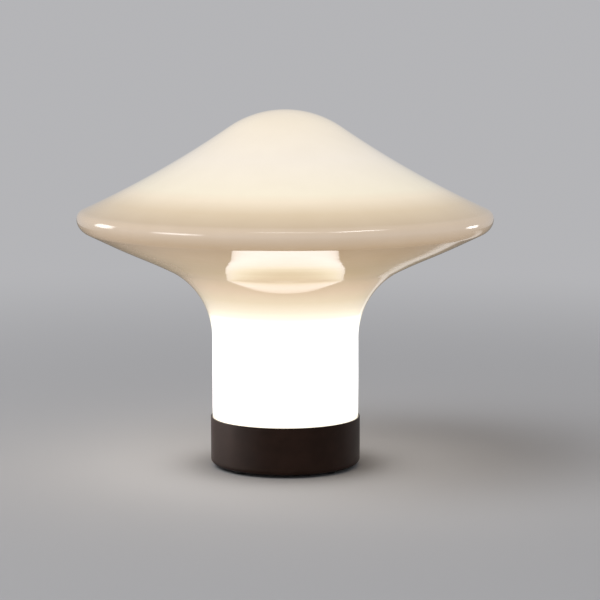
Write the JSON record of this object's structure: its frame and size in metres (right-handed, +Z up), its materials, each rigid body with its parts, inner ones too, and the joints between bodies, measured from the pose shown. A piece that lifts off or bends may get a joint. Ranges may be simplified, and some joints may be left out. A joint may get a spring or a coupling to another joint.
{
  "type": "table lamp",
  "caption": "Table lamp with a one-piece blown opal glass body, wide rim, domed crown and flared neck, standing in a dark round metal base that holds its light unit.",
  "frame": {"origin": "on the table surface under the middle of the round base, at the underside of the feet", "axes": "+Z up along the lamp's axis, -Y to the front, +Y to the back where the cord inlet is"},
  "size_m": [0.4209, 0.421, 0.3632],
  "materials": {
    "opal_glass": "gloss",
    "dark_coated_metal": "matt powder coat",
    "clear_silicone": "satin",
    "black_steel": "matt",
    "black_rubber": "matt",
    "zinc_screw": "zinc plated",
    "ballast_iron": "rough cast",
    "bare_aluminium": "machined",
    "white_board": "gloss",
    "led_phosphor": "gloss",
    "opal_acrylic": "satin",
    "white_plastic": "matt",
    "terminal_brass": "bare",
    "brown_insulation": "satin",
    "blue_insulation": "satin",
    "green_insulation": "satin",
    "red_insulation": "satin",
    "black_insulation": "satin"
  },
  "bodies": {
    "base": {"base_housing": "dark_coated_metal", "glass_gasket": "clear_silicone", "bottom_cover": "black_steel", "rubber_feet": "black_rubber", "cover_screws": "zinc_screw", "ballast_ring": "ballast_iron", "cord_bush": "black_rubber", "heat_spreader": "bare_aluminium", "led_board": "white_board", "leds": "led_phosphor", "led_connector": "white_plastic", "board_screws": "zinc_screw", "diffuser": "opal_acrylic", "diffuser_clamp_ring": "bare_aluminium", "light_unit_screws": "zinc_screw", "led_driver": "white_plastic", "driver_screws": "zinc_screw", "terminal_block": "white_plastic", "terminal_block_screws": "zinc_screw", "terminal_screws": "terminal_brass", "earth_lug": "terminal_brass", "earth_screw": "zinc_screw", "live_lead": "brown_insulation", "neutral_lead": "blue_insulation", "earth_lead": "green_insulation", "led_lead_positive": "red_insulation", "led_lead_negative": "black_insulation"},
    "glass": {"glass_body": "opal_glass"}
  },
  "joints": [
    {"name": "glass_lift", "type": "slide", "parent": "base", "child": "glass", "axis": [0, 0, 1], "range_m": [0, 0.15]}
  ]
}
